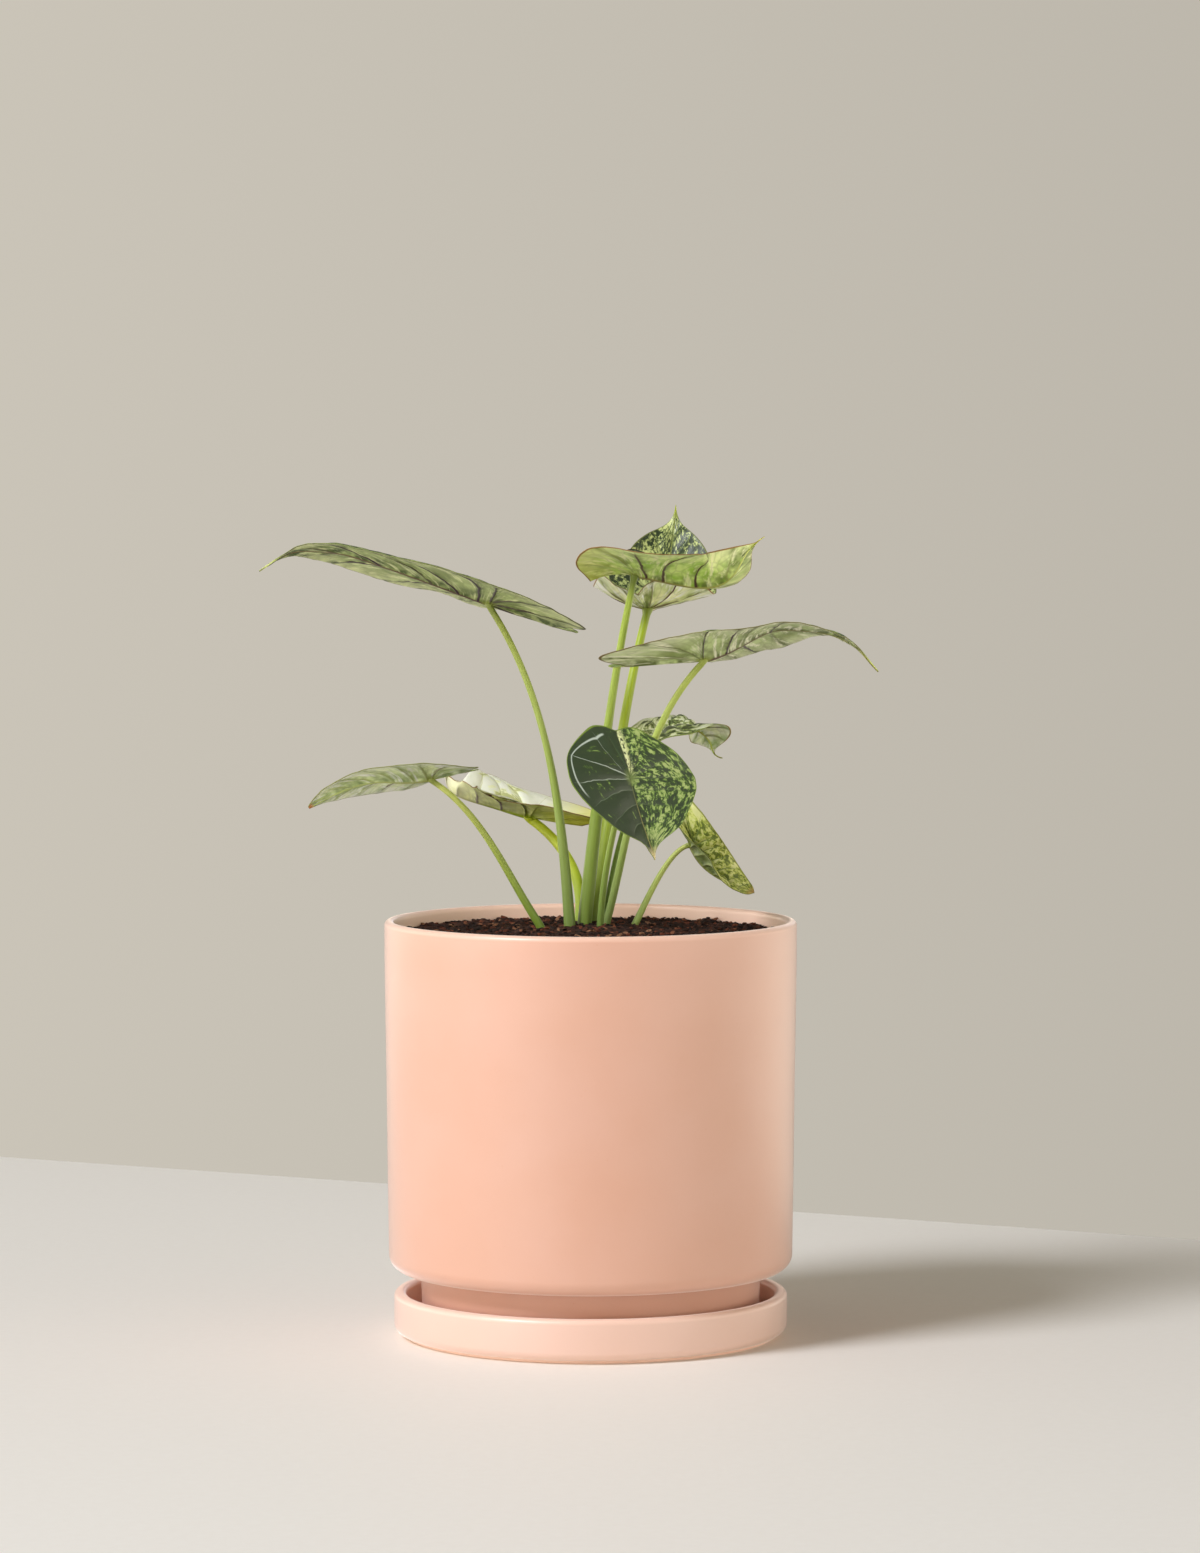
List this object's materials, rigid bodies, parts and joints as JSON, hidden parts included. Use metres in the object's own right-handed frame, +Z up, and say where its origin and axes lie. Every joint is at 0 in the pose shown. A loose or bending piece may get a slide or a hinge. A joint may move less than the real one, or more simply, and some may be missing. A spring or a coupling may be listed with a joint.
{
  "type": "potted alocasia",
  "caption": "Young mint alocasia with drooping heart-shaped leaves on slim petioles, in a straight-sided matte stoneware pot on a round saucer.",
  "frame": {"origin": "centre of the saucer's flat underside, on the surface that it stands on", "axes": "+Z up along the pot's axis, -Y towards the viewer of the front, +X to the right in that view"},
  "size_m": [0.2687, 0.18, 0.3625],
  "materials": {
    "stoneware": "matte",
    "soil": "matte",
    "corm": "matte",
    "blade": "satin",
    "petiole": "satin"
  },
  "bodies": {
    "root": {"pot": "stoneware", "saucer": "stoneware", "soil": "soil", "corm": "corm", "long_left_blade": "blade", "long_left_petiole": "petiole", "upper_front_blade": "blade", "upper_front_petiole": "petiole", "upper_rear_blade": "blade", "upper_rear_petiole": "petiole", "long_right_blade": "blade", "long_right_petiole": "petiole", "front_blade": "blade", "front_petiole": "petiole", "middle_rear_blade": "blade", "middle_rear_petiole": "petiole", "hanging_blade": "blade", "hanging_petiole": "petiole", "low_left_blade": "blade", "low_left_petiole": "petiole", "young_folded_blade": "blade", "young_folded_petiole": "petiole"}
  },
  "joints": []
}
